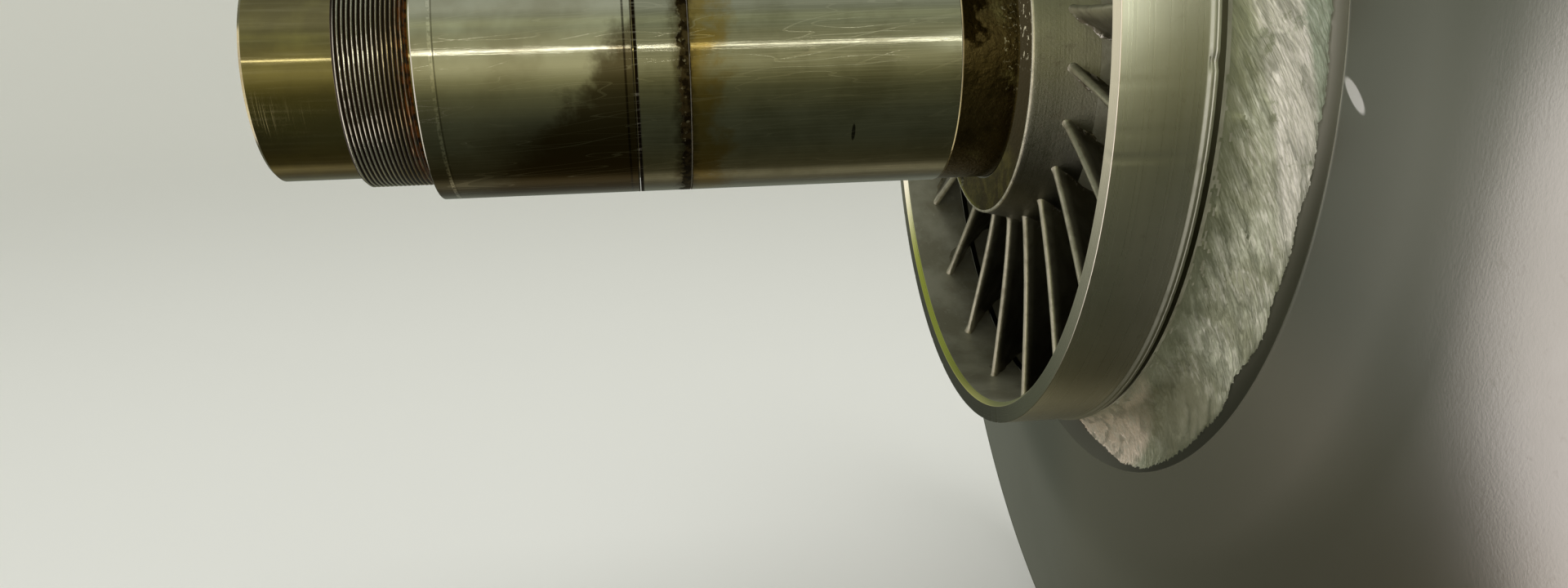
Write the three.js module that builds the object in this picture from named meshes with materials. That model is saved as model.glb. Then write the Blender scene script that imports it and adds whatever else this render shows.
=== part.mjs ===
// Centrifugal compressor rotor: a closed impeller with its eye ring on a stepped shaft,
// with three slid-on sleeves at each side.
// Millimetres. +X runs along the shaft from the centre of its left end face, the eye of the
// impeller opens towards -X, and +Z is up.

import * as THREE from "three";

// Shaft and sleeves, as distances from the left end face and radii
const rotorLength = 900;
const pilotRadius = 53;
const pilotLength = 43;
const endChamfer = 1.5;
const threadRadius = 57.5;
const threadEnd = 76;
const reliefWidth = 1.8;
const reliefRadius = 55;
const sleeveSeatRadius = 58;
const hubSeatRadius = 64.5;
const sleeveRadius = 65;
const sleeveStart = 77.8;
const distanceRingStart = 177.4;
const sealSleeveStart = 203;
const sleeveEnd = 332.5;
const seatGap = 0.3; // between a piece and what carries it

// Impeller
const outerRadius = 414.7;
const noseFace = 360;
const noseRadius = 84;
const noseChamfer = 1;
const bladeCount = 21;
const bladeThickness = 5;
const bladeEdgeThickness = 3;
const bladeSteps = 12; // along the flow
const firstBladeAngle = -12; // degrees, of the root of the leading edge
const tipLead = 7; // degrees that the leading edge's tip is ahead of its root
const exitAngle = 37; // degrees that the blades lean back from radial at the rim
const inducerTwist = 15; // degrees that they turn as the flow leaves the axial direction
const inducerDepth = 76; // over which they do so
const bladeGap = 0.6; // between a blade's edges and the walls, which have flat facets
const rootEdge = new THREE.Vector2(374.5, 87.3); // leading edge at the hub, as x and radius
const tipEdgeX = 374;
const hubRimX = 497; // front of the hub disc at the rim
const hubRimThickness = 17;

// Eye ring and cover disc
const eyeRadius = 184.7;
const ringFace = 355.6;
const ringEnd = 394;
const ringRadius = 195.5;
const ringChamfer = 1;
const lipRadius = 196.5;
const lipWidth = 2.5;
const neckRadius = 195;
const filletStart = 397;
const coverStep = new THREE.Vector2(425.1, 226.1);
const coverRimX = 450.6;
const coverRimThickness = 11;

const shaftSegments = 48;
const discSegments = 3 * bladeCount;

const at = (x, radius) => new THREE.Vector2(x, radius);

// The same outline on the other side of the impeller, in reverse order
const mirrored = (outline) =>
  outline.map((p) => at(rotorLength - p.x, p.y)).reverse();

// A body turned about the X axis. The outline runs from left to right along the outside.
function turned(outline, segments) {
  const points = outline.map((p) => new THREE.Vector2(p.y, p.x));
  if (outline[0].y > 0) points.push(points[0].clone());
  return new THREE.LatheGeometry(points, segments).rotateZ(-Math.PI / 2);
}

function shaft() {
  const leftHalf = [
    at(0, 0),
    at(0, pilotRadius - endChamfer),
    at(endChamfer, pilotRadius),
    at(pilotLength, pilotRadius),
    at(pilotLength, threadRadius - endChamfer),
    at(pilotLength + endChamfer, threadRadius),
    at(threadEnd - reliefWidth, threadRadius),
    at(threadEnd - reliefWidth, reliefRadius),
    at(threadEnd, reliefRadius),
    at(threadEnd, sleeveSeatRadius),
    at(sleeveEnd, sleeveSeatRadius),
    at(sleeveEnd, hubSeatRadius),
  ];
  return turned([...leftHalf, ...mirrored(leftHalf)], shaftSegments);
}

function sleeve(start, end) {
  const bore = sleeveSeatRadius + seatGap;
  const outline = [at(start, bore), at(start, sleeveRadius), at(end, sleeveRadius), at(end, bore)];
  return turned(outline, shaftSegments);
}

// The walls of the gas passage, from the leading edge to the rim
const hubWall = new THREE.CubicBezierCurve(
  rootEdge,
  at(450, 109),
  at(hubRimX, 128),
  at(hubRimX, outerRadius),
).getSpacedPoints(bladeSteps);
const coverCurve = new THREE.CubicBezierCurve(
  at(ringEnd + seatGap, eyeRadius),
  at(436, eyeRadius),
  at(443, 212),
  at(coverRimX + coverRimThickness, outerRadius),
).getSpacedPoints(bladeSteps - 1);

function hubDisc() {
  const bore = hubSeatRadius + seatGap;
  const backFace = hubRimX + hubRimThickness;
  const bossEnd = rotorLength - noseFace;
  const bossFillet = new THREE.QuadraticBezierCurve(
    at(backFace + 4, 170),
    at(backFace + 5, noseRadius + 6),
    at(bossEnd - noseChamfer, noseRadius),
  ).getPoints(5);
  const outline = [
    at(noseFace, bore),
    at(noseFace, noseRadius - noseChamfer),
    at(noseFace + noseChamfer, noseRadius),
    ...hubWall,
    at(backFace, outerRadius),
    ...bossFillet,
    at(bossEnd, noseRadius - noseChamfer),
    at(bossEnd, bore),
  ];
  return turned(outline, discSegments);
}

function eyeRing() {
  const outline = [
    at(ringFace, eyeRadius),
    at(ringFace, ringRadius - ringChamfer),
    at(ringFace + ringChamfer, ringRadius),
    at(ringEnd - lipWidth - ringChamfer, ringRadius),
    at(ringEnd - lipWidth, lipRadius),
    at(ringEnd, lipRadius),
    at(ringEnd, eyeRadius),
  ];
  return turned(outline, discSegments);
}

function coverDisc() {
  const fillet = new THREE.EllipseCurve(
    filletStart,
    coverStep.y,
    coverStep.x - filletStart,
    coverStep.y - neckRadius,
    -Math.PI / 2,
    0,
  ).getPoints(6);
  const outline = [
    coverCurve[0],
    at(coverCurve[0].x, neckRadius),
    ...fillet,
    at(coverRimX, outerRadius),
    ...coverCurve.slice(1).reverse(),
  ];
  return turned(outline, discSegments);
}

// The lean of the blades grows with the radius, from the tip lead across the leading edge
// to the exit angle at the rim
const { degToRad, clamp } = THREE.MathUtils;
const edgeToTip = eyeRadius - rootEdge.y;
const edgeToRim = outerRadius - rootEdge.y;
const rimLean = Math.tan(degToRad(exitAngle)) / outerRadius;
const leanGrowth =
  (rimLean * edgeToTip - degToRad(tipLead)) / (2 * edgeToRim * edgeToTip - edgeToTip ** 2);
const firstLean = rimLean - 2 * leanGrowth * edgeToRim;

// Angle that a blade has turned through at a point of its root or tip
function sweep(p) {
  const out = p.y - rootEdge.y;
  const depth = clamp((p.x - rootEdge.x) / inducerDepth, 0, 1);
  const twist = degToRad(inducerTwist) * (1 - (1 - depth) ** 2);
  return firstLean * out + leanGrowth * out ** 2 + twist;
}

// A point at an angle about the X axis, measured from -Y towards -Z
const onCircle = (p, angle) =>
  new THREE.Vector3(p.x, -p.y * Math.cos(angle), -p.y * Math.sin(angle));

// The wall's points moved into the passage by the gap
function inset(wall, side) {
  return wall.map((p, i) => {
    const along = wall[Math.min(i + 1, wall.length - 1)].clone().sub(wall[Math.max(i - 1, 0)]);
    const inward = at(-along.y, along.x).normalize();
    return p.clone().addScaledVector(inward, side * bladeGap);
  });
}

// One ruled blade: straight lines join its root on the hub to its tip on the cover
function blade() {
  const root = inset(hubWall, 1);
  const tip = inset([at(tipEdgeX, eyeRadius), ...coverCurve], -1);
  const cell = (face, step, span) => {
    const thickness = step === 0 ? bladeEdgeThickness : bladeThickness;
    const line = span === 0 ? root : tip;
    const p = line[step];
    const near = Math.max(step - 1, 0);
    const far = Math.min(step + 1, bladeSteps);
    const slope = ((sweep(line[far]) - sweep(line[near])) * p.y) / line[far].distanceTo(line[near]);
    const half = ((thickness / 2) * Math.hypot(1, slope)) / p.y;
    return onCircle(p, sweep(p) + face * half);
  };

  const positions = [];
  const quad = (a, b, c, d) => {
    for (const p of [a, b, c, a, c, d]) positions.push(...p);
  };
  for (let i = 0; i < bladeSteps; i++) {
    const [a, b, c, d] = [cell(1, i, 0), cell(1, i + 1, 0), cell(1, i + 1, 1), cell(1, i, 1)];
    const [e, f, g, h] = [cell(-1, i, 0), cell(-1, i + 1, 0), cell(-1, i + 1, 1), cell(-1, i, 1)];
    quad(a, b, c, d);
    quad(e, h, g, f);
    quad(a, e, f, b);
    quad(d, c, g, h);
    if (i === 0) quad(a, d, h, e);
    if (i === bladeSteps - 1) quad(b, f, g, c);
  }
  const geometry = new THREE.BufferGeometry();
  geometry.setAttribute("position", new THREE.Float32BufferAttribute(positions, 3));
  geometry.computeVertexNormals();
  return geometry;
}

const steel = (color, roughness) =>
  new THREE.MeshStandardMaterial({ color, roughness, metalness: 0.9 });
const darkOiledSteel = steel(0x4a3f2c, 0.4);
const groundSteel = steel(0x8f8d76, 0.3);
const satinSteel = steel(0x8d907c, 0.4);
const dullSteel = steel(0x5d5b4f, 0.55);

const rotor = new THREE.Group();

function add(name, geometry, material, parent = rotor) {
  const mesh = new THREE.Mesh(geometry, material);
  mesh.name = name;
  parent.add(mesh);
  return mesh;
}

add("shaft", shaft(), darkOiledSteel);

const sleeves = {
  spacer_sleeve: [sleeveStart, distanceRingStart - seatGap],
  distance_ring: [distanceRingStart, sealSleeveStart - seatGap],
  seal_sleeve: [sealSleeveStart, sleeveEnd - seatGap],
};
for (const [name, [start, end]] of Object.entries(sleeves)) {
  add("left_" + name, sleeve(start, end), groundSteel);
  add("right_" + name, sleeve(rotorLength - end, rotorLength - start), groundSteel);
}

const impeller = new THREE.Group();
rotor.add(impeller);
add("hub_disc", hubDisc(), dullSteel, impeller);
add("cover_disc", coverDisc(), dullSteel, impeller);
add("eye_ring", eyeRing(), satinSteel, impeller);

const bladeShape = blade();
for (let i = 0; i < bladeCount; i++) {
  const name = "blade_" + String(i + 1).padStart(2, "0");
  const turnedBlade = add(name, bladeShape, dullSteel, impeller);
  turnedBlade.rotation.x = degToRad(firstBladeAngle + (i * 360) / bladeCount);
}

export default rotor;
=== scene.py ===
# Centrifugal compressor rotor: the looks of its shaft, sleeves, discs, eye ring and blades.
# Outlines are in millimetres, as distance along the shaft and radius. Angles about the shaft
# are in radians, start at the front (-Y) and turn downwards.
import math

import bpy
from mathutils import Matrix, Vector, geometry, noise


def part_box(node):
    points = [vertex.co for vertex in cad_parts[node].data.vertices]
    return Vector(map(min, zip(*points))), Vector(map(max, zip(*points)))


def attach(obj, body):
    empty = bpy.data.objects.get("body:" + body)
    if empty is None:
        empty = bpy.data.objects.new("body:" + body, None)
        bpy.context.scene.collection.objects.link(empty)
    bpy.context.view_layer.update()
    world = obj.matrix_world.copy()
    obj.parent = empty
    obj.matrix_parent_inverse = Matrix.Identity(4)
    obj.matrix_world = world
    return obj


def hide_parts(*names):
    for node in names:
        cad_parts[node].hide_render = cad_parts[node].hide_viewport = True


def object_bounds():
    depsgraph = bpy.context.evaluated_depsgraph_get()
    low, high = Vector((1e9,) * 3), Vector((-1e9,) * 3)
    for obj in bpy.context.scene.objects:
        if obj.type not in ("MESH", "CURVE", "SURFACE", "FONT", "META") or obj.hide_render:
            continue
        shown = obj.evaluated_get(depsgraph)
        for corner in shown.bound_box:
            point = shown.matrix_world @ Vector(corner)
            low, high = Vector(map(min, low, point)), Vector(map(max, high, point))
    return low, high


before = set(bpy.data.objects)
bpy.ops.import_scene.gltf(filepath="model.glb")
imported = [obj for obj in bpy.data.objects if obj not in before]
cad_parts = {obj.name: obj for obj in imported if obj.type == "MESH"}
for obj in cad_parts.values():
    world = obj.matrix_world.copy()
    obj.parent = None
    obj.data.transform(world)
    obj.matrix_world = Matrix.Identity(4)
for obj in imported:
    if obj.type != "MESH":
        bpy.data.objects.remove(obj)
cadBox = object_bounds()
mm = 0.001
turn = 2 * math.pi
rotorLength = cadBox[1].x / mm


def spanOf(node):  # a turned node's two ends and its outer radius
    low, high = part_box(node)
    return low.x / mm, high.x / mm, high.z / mm


noseFace = spanOf("hub_disc")[0]

# Making meshes


def onCircle(x, radius, angle):
    return Vector((x, -radius * math.cos(angle), -radius * math.sin(angle))) * mm


def smoothStep(low, high, value):
    t = min(max((value - low) / (high - low), 0), 1)
    return t * t * (3 - 2 * t)


def softened(outline, cut):  # a closed outline with its sharp corners rounded
    result = []
    count = len(outline)
    for i, here in enumerate(outline):
        corner = Vector(here)
        back = Vector(outline[i - 1]) - corner
        ahead = Vector(outline[(i + 1) % count]) - corner
        if math.pi - back.angle(ahead) < 0.3:  # nearly straight on
            result.append(tuple(here))
            continue
        start = corner + back.normalized() * min(cut, back.length * 0.45)
        end = corner + ahead.normalized() * min(cut, ahead.length * 0.45)
        for t in (0, 0.25, 0.5, 0.75, 1):
            point = start * (1 - t) ** 2 + corner * 2 * t * (1 - t) + end * t * t
            result.append(tuple(point))
    return result


def divided(points, step):  # an open run of points with no gap wider than the step
    result = [tuple(points[0])]
    for start, end in zip(points, points[1:]):
        start, end = Vector(start), Vector(end)
        pieces = max(1, math.ceil((end - start).length / step))
        result += [tuple(start.lerp(end, k / pieces)) for k in range(1, pieces + 1)]
    return result


def bentAt(points, i):  # whether a run turns at one of its points, or ends there
    if i in (0, len(points) - 1):
        return True
    before = Vector(points[i]) - Vector(points[i - 1])
    after = Vector(points[i + 1]) - Vector(points[i])
    return before.angle(after, 0) > 0.05


def held(points, gap=0.4):  # with a point beside each bend of a long stretch, to shade it flat
    result = [points[0]]
    for i, (here, there) in enumerate(zip(points, points[1:])):
        start, end = Vector(here), Vector(there)
        length = (end - start).length
        isLong = length > 8 * gap
        if isLong and bentAt(points, i):
            result.append(tuple(start.lerp(end, gap / length)))
        if isLong and bentAt(points, i + 1):
            result.append(tuple(end.lerp(start, gap / length)))
        result.append(there)
    return result


def mirrored(outline):  # the same outline at the rotor's other end
    return [(rotorLength - x, radius) for x, radius in reversed(outline)]


def bezier(start, handleA, handleB, end, count):
    return [tuple(p) for p in geometry.interpolate_bezier(start, handleA, handleB, end, count)]


def wobble(*place):  # a smooth noise, about -1 to 1
    return noise.noise(Vector(place))


# The faces between rows of points, each row closed on itself. Where it is closed the last row
# joins the first, and flipped faces look the other way.
def rowFaces(rows, width, start=0, closed=False, flipped=False):
    faces = []
    for row in range(rows if closed else rows - 1):
        near, far = start + row * width, start + (row + 1) % rows * width
        for k in range(width):
            side = (k + 1) % width
            corners = (near + k, near + side, far + side, far + k)
            faces.append((corners[0], *corners[:0:-1]) if flipped else corners)
    return faces


# A piece that rides on the rotor's one body and stands for its nodes. Marks are numbers for the
# material, one for each point.
def finished(name, verts, faces, material, slot, *nodes, marks=None):
    mesh = bpy.data.meshes.new(name)
    mesh.from_pydata(verts, [], faces)
    for key, values in (marks or {}).items():
        mesh.attributes.new(key, "FLOAT", "POINT").data.foreach_set("value", values)
    mesh.shade_smooth()
    mesh.set_sharp_from_angle(angle=math.radians(32))
    mesh.materials.append(material)
    piece = bpy.data.objects.new(name, mesh)
    bpy.context.scene.collection.objects.link(piece)
    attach(piece, "root")
    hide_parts(*nodes)
    print(name, len(mesh.polygons), "faces")
    return piece


def painted(piece, material, chosen):  # another material on the faces that are chosen
    index = len(piece.data.materials)
    piece.data.materials.append(material)
    for face in piece.data.polygons:
        centre = face.center / mm
        if chosen(centre.x, math.hypot(centre.y, centre.z), face.normal):
            face.material_index = index


# A ring turned from a closed outline that runs left to right along the outside.
# The shift moves a point along the shaft and outwards, and may give marks for the material.
def turnedRing(name, outline, segments, material, slot, *nodes, shift=None, marks=()):
    outline = held([*outline, outline[0]])[:-1]
    verts = []
    values = {key: [] for key in marks}
    for x, radius in outline:
        for k in range(segments):
            angle = turn * k / segments
            moved = shift(x, radius, angle) if shift else (0, 0)
            verts.append(onCircle(x + moved[0], radius + moved[1], angle))
            for key, value in zip(marks, moved[2:]):
                values[key].append(value)
    faces = rowFaces(len(outline), segments, closed=True)
    return finished(name, verts, faces, material, slot, *nodes, marks=values)


# Making materials


def linear(code):  # an sRGB hex colour as linear red, green, blue and alpha
    parts = [int(code[i:i + 2], 16) / 255 for i in (1, 3, 5)]
    return [c / 12.92 if c <= 0.04045 else ((c + 0.055) / 1.055) ** 2.4 for c in parts] + [1]


# Adds a node with its settings. Each input is a number, a hex colour, or what it is linked to.
def addNode(tree, kind, inputs=None, output=0, **settings):
    node = tree.nodes.new("ShaderNode" + kind)
    for key, value in settings.items():
        setattr(node, key, value)
    for key, value in (inputs or {}).items():
        if isinstance(value, bpy.types.NodeSocket):
            tree.links.new(value, node.inputs[key])
        else:
            node.inputs[key].default_value = linear(value) if isinstance(value, str) else value
    return node.outputs if output is None else node.outputs[output]


def startMaterial(name):
    material = bpy.data.materials.new(name)
    material.use_nodes = True
    shader = material.node_tree.nodes["Principled BSDF"]
    shader.inputs["Metallic"].default_value = 1
    return material, material.node_tree, shader


# Where a spot on the rotor is, in mm: along the shaft, from its nearer end, out from its middle
# and around it
def turnedPlace(tree):
    metres = addNode(tree, "TexCoord", output="Object")
    place = addNode(tree, "VectorMath", {0: metres, 1: (1 / mm,) * 3}, operation="MULTIPLY")
    parts = addNode(tree, "SeparateXYZ", {0: place}, output=None)
    left = addNode(tree, "Math", {0: rotorLength, 1: parts[0]}, operation="SUBTRACT")
    nearer = addNode(tree, "Math", {0: parts[0], 1: left}, operation="MINIMUM")
    section = addNode(tree, "VectorMath", {0: place, 1: (0, 1, 1)}, operation="MULTIPLY")
    radius = addNode(tree, "VectorMath", {0: section}, "Value", operation="LENGTH")
    down = addNode(tree, "Math", {0: parts[2], 1: -1.0}, operation="MULTIPLY")
    front = addNode(tree, "Math", {0: parts[1], 1: -1.0}, operation="MULTIPLY")
    angle = addNode(tree, "Math", {0: down, 1: front}, operation="ARCTAN2")
    around = addNode(tree, "Math", {0: angle, 1: radius}, operation="MULTIPLY")
    return {"tree": tree, "place": place, "along": parts[0], "fromEnd": nearer,
            "radius": radius, "angle": angle, "around": around}


# Cloudy patches of about a size in mm: 0 to 1 where the noise lies between two levels
def patches(at, size, low, high, detail=4.0, roughness=0.6):
    settings = {"Vector": at["place"], "Scale": 1 / size, "Detail": detail,
                "Roughness": roughness}
    cloud = addNode(at["tree"], "TexNoise", settings)
    return addNode(at["tree"], "MapRange", {0: cloud, 1: low, 2: high},
                   interpolation_type="SMOOTHSTEP")


# A place in a flat pattern along two directions, from its centre and in units of its sizes
def flatPlace(at, directions, sizes, centre=(0, 0), tilt=0.0):
    flat = addNode(at["tree"], "CombineXYZ", {i: at[d] for i, d in enumerate(directions)})
    inputs = {"Vector": flat, "Location": (*centre, 0), "Rotation": (0, 0, tilt),
              "Scale": (*sizes, 1)}
    return addNode(at["tree"], "Mapping", inputs, vector_type="TEXTURE")


# Patches drawn out into marks, of given lengths in mm along two directions
def streaks(at, directions, sizes, low, high, detail=4.0, tilt=0.0):
    settings = {"Vector": flatPlace(at, directions, sizes, tilt=tilt), "Scale": 1.0,
                "Detail": detail, "Roughness": 0.6}
    cloud = addNode(at["tree"], "TexNoise", settings)
    return addNode(at["tree"], "MapRange", {0: cloud, 1: low, 2: high},
                   interpolation_type="SMOOTHSTEP")


# A place along one direction, pushed on in patches, so that what it limits has a ragged edge
def ragged(at, direction, size, push, detail=4.0):
    cloud = patches(at, size, 0.3, 0.7, detail)
    return addNode(at["tree"], "Math", {0: cloud, 1: push, 2: at[direction]},
                   operation="MULTIPLY_ADD")


# Long thin scratches, where a drifting noise crosses its middle
def scratches(at, directions, sizes, width, tilt=0.0):
    drift = streaks(at, directions, sizes, 0.5 - width, 0.5 + width, 1.0, tilt)
    return addNode(at["tree"], "Math", {0: drift, 1: 0.5, 2: 0.45}, operation="COMPARE")


# 1 where a value lies between two limits, either of which may be None, fading over a width
def within(value, low, high, width):
    tree = value.id_data
    mask = None
    if low is not None:
        mask = addNode(tree, "MapRange", {0: value, 1: low - width / 2, 2: low + width / 2},
                       interpolation_type="SMOOTHSTEP")
    if high is not None:
        fall = {0: value, 1: high - width / 2, 2: high + width / 2, 3: 1.0, 4: 0.0}
        below = addNode(tree, "MapRange", fall, interpolation_type="SMOOTHSTEP")
        if mask is None:
            return below
        mask = addNode(tree, "Math", {0: mask, 1: below}, operation="MULTIPLY")
    return mask


# A spot like a lens: 1 inside it, fading at its edge
def spot(at, directions, centre, halfSizes, tilt=0.0):
    place = flatPlace(at, directions, halfSizes, centre, tilt)
    reach = addNode(at["tree"], "VectorMath", {0: place}, "Value", operation="LENGTH")
    return within(reach, None, 1, 0.3)


# Lays a stain over a colour, as strongly as all the shares multiplied
def stained(colour, stain, *shares):
    share = shares[0]
    tree = share.id_data
    for other in shares[1:]:
        share = addNode(tree, "Math", {0: share, 1: other}, operation="MULTIPLY")
    return addNode(tree, "Mix", {0: share, 6: colour, 7: stain}, 2, data_type="RGBA")


# Links what varies over a surface. Each bump is a height and its depth in mm, and stands on the
# one before.
def wired(shader, colour, rough, *bumps, metal=None):
    tree = shader.id_data
    normal = None
    for height, depth in bumps:
        inputs = {"Height": height, "Distance": depth * mm, "Strength": 1.0}
        if normal:
            inputs["Normal"] = normal
        normal = addNode(tree, "Bump", inputs)
    links = {"Base Color": colour, "Roughness": rough, "Metallic": metal, "Normal": normal}
    for key, source in links.items():
        if source:
            tree.links.new(source, shader.inputs[key])


# Camera, stage and lights

view = {
    "place": (177.6, -621.7, 0),  # level with the shaft's middle
    "pan": -6.69,  # degrees to the right
    "tilt": 76.35,  # from straight down
    "roll": -1.66,
    "lens": 26.88,
    "shiftUp": 0.0316,  # the photo is the upper part of a taller picture
}


def makeCamera():
    data = bpy.data.cameras.new("camera")
    data.sensor_width = 36
    data.lens = view["lens"]
    data.shift_y = view["shiftUp"]
    data.clip_start = 0.01
    camera = bpy.data.objects.new("camera", data)
    pan, tilt, roll = (
        Matrix.Rotation(math.radians(view[key]), 4, axis)
        for key, axis in (("pan", "Z"), ("tilt", "X"), ("roll", "Z"))
    )
    camera.matrix_world = Matrix.Translation(Vector(view["place"]) * mm) @ pan @ tilt @ roll
    bpy.context.scene.collection.objects.link(camera)
    bpy.context.scene.camera = camera


studio = {
    "floorGap": 0.0003,  # metres, under the rotor
    "floorRadius": 6.0,  # metres, a round sweep that curves up into a wall
    "sweepRadius": 2.0,
    "sweepSteps": 16,
    "wallHeight": 6.0,
    "segments": 96,
    "floorColour": "#d6d6d2",
    "glow": 0.3,  # light that the floor gives by itself, against hard shadows
    # what the steel mirrors, by degrees about the shaft: straight up at -180, the camera's side
    # at -90, straight down at 0, the far side at 90
    "sky": (
        (-180, "#8f9288"),
        (-139, "#b2b4a4"),
        (-133, "#9a9c89"),
        (-127, "#b5b798"),
        (-122, "#a0a288"),
        (-114, "#a5a384"),
        (-90, "#bab48e"),
        (-78, "#88835f"),
        (-66, "#615f44"),
        (-42, "#4a4b3a"),
        (-18, "#424334"),
        (6, "#44412e"),
        (20, "#4c4733"),
        (29, "#8a826a"),
        (35, "#8a836c"),
        (41, "#6a6452"),
        (53, "#64645a"),
        (62, "#76786c"),
        (90, "#777c70"),
        (140, "#8b8f86"),
        (180, "#8f9288"),
    ),
    "skyEnds": "#85877c",  # along the shaft
    # soft patches of light on it: degrees from +Y towards +X and upwards, how far each is even
    # and where it ends, then strength and colour
    "patches": {
        "pale_wall": (-103.4, -14, 48, 50, 1.36, "#fff6fb"),
        "wall_shade": (-96, -2, 6, 32, -0.8, "#ffffff"),  # dims its middle
        "cover_light": (-48, 11, 6, 24, 0.11, "#fbfbee"),
        "back_wall": (90, 0, 25, 48, 0.5, "#fff5ea"),
        "ring_face_light": (-21, 8, 5, 18, 0.75, "#fff5e4"),
        "window": (147, 10, 5, 20, 2.7, "#fffff0"),
        "window_foot": (147, -8, 4, 18, 0.4, "#fffff0"),
    },
}


def makeStage():
    ground = cadBox[0].z - studio["floorGap"]
    radius, bend, steps = studio["floorRadius"], studio["sweepRadius"], studio["sweepSteps"]
    outline = []
    for k in range(steps + 1):
        angle = math.pi / 2 * k / steps
        outline.append((radius + bend * math.sin(angle), ground + bend * (1 - math.cos(angle))))
    outline.append((radius + bend, ground + studio["wallHeight"]))
    segments = studio["segments"]
    centre = (cadBox[0].x + cadBox[1].x) / 2
    verts = [(centre, 0, ground)]
    for reach, height in outline:
        for k in range(segments):
            a = turn * k / segments
            verts.append((centre + reach * math.cos(a), reach * math.sin(a), height))
    faces = [(0, 1 + k, 1 + (k + 1) % segments) for k in range(segments)]
    faces += rowFaces(len(outline), segments, start=1, flipped=True)
    mesh = bpy.data.meshes.new("floor")
    mesh.from_pydata(verts, [], faces)
    mesh.shade_smooth()
    floor = bpy.data.objects.new("floor", mesh)
    bpy.context.scene.collection.objects.link(floor)
    floor.visible_glossy = False  # the steel mirrors the soft sky of the studio instead
    material, _, shader = startMaterial("pale_matt_backdrop")
    shader.inputs["Base Color"].default_value = linear(studio["floorColour"])
    shader.inputs["Metallic"].default_value = 0
    shader.inputs["Roughness"].default_value = 0.9
    shader.inputs["Emission Color"].default_value = linear(studio["floorColour"])
    shader.inputs["Emission Strength"].default_value = studio["glow"]
    mesh.materials.append(material)


def makeWorld():
    world = bpy.data.worlds.new("studio")
    bpy.context.scene.world = world
    world.use_nodes = True
    tree = world.node_tree
    direction = addNode(tree, "TexCoord", output="Generated")
    parts = addNode(tree, "SeparateXYZ", {0: direction}, output=None)
    down = addNode(tree, "Math", {0: parts[2], 1: -1.0}, operation="MULTIPLY")
    angle = addNode(tree, "Math", {0: parts[1], 1: down}, operation="ARCTAN2")
    fraction = addNode(tree, "MapRange", {0: angle, 1: -math.pi, 2: math.pi})
    colour = addNode(tree, "ValToRGB", {0: fraction})
    stops = colour.node.color_ramp.elements
    for degrees, code in studio["sky"]:
        place = 0.5 + degrees / 360
        stop = stops[0] if place <= 0 else stops[-1] if place >= 1 else stops.new(place)
        stop.color = linear(code)
    sideways = addNode(tree, "Math", {0: parts[0]}, operation="ABSOLUTE")
    ends = within(sideways, 0.85, None, 0.25)
    colour = stained(colour, studio["skyEnds"], ends)
    for azimuth, elevation, even, edge, strength, code in studio["patches"].values():
        pan, rise = math.radians(azimuth), math.radians(elevation)
        aim = (math.sin(pan) * math.cos(rise), math.cos(pan) * math.cos(rise), math.sin(rise))
        near = addNode(tree, "VectorMath", {0: direction, 1: aim}, "Value",
                       operation="DOT_PRODUCT")
        limits = {0: near, 1: math.cos(math.radians(edge)), 2: math.cos(math.radians(even)),
                  4: strength}
        amount = addNode(tree, "MapRange", limits, interpolation_type="SMOOTHSTEP")
        patch = addNode(tree, "Mix", {0: 1.0, 6: code, 7: amount}, 2, data_type="RGBA",
                        blend_type="MULTIPLY")
        colour = addNode(tree, "Mix", {0: 1.0, 6: colour, 7: patch}, 2, data_type="RGBA",
                         blend_type="ADD")
    tree.links.new(colour, tree.nodes["Background"].inputs[0])


lamps = {
    "tube": {  # the narrow light whose image is the bright line along the shaft
        "place": (0.15, -2.0, 0.46), "size": (2.1, 0.026), "power": 1.4, "colour": "#fff9ec",
    },
    "top_soft": {  # for the floor and the shadows only
        "place": (0.3, -0.6, 2.6), "size": (2.2, 2.2), "power": 46, "colour": "#ffffff",
        "hidden": True,
    },
}


def makeLamps():
    target = (cadBox[0] + cadBox[1]) / 2
    for name, lamp in lamps.items():
        data = bpy.data.lights.new(name, "AREA")
        data.shape = "RECTANGLE"
        data.size, data.size_y = lamp["size"]
        data.energy = lamp["power"]
        data.color = linear(lamp["colour"])[:3]
        light = bpy.data.objects.new(name, data)
        light.location = lamp["place"]
        aim = target - light.location
        aim.x = 0  # square to the shaft
        light.rotation_euler = aim.to_track_quat("-Z", "Y").to_euler()
        light.visible_glossy = not lamp.get("hidden", False)
        bpy.context.scene.collection.objects.link(light)


# Shaft

shaftSizes = {
    "pilotRadius": 53,
    "pilotEnd": 41.7,
    "endChamfer": 1.5,
    "threadEnd": 76,
    "threadRadius": 57.5,
    "threadPitch": 2.15,
    "threadDepth": 1.3,
    "reliefWidth": 1.8,
    "reliefRadius": 55,
    "sleeveSeatRadius": 58,
    "hubSeatRadius": spanOf("shaft")[2],
    "sleeveEnd": spanOf("left_seal_sleeve")[1] + 0.3,
    "segments": 256,
    "thickOilEnd": 346,  # on the impeller's seat
    "oilyFrom": 62,  # where the thread's crests turn brown
    "rustyFrom": 71,
}


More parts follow.
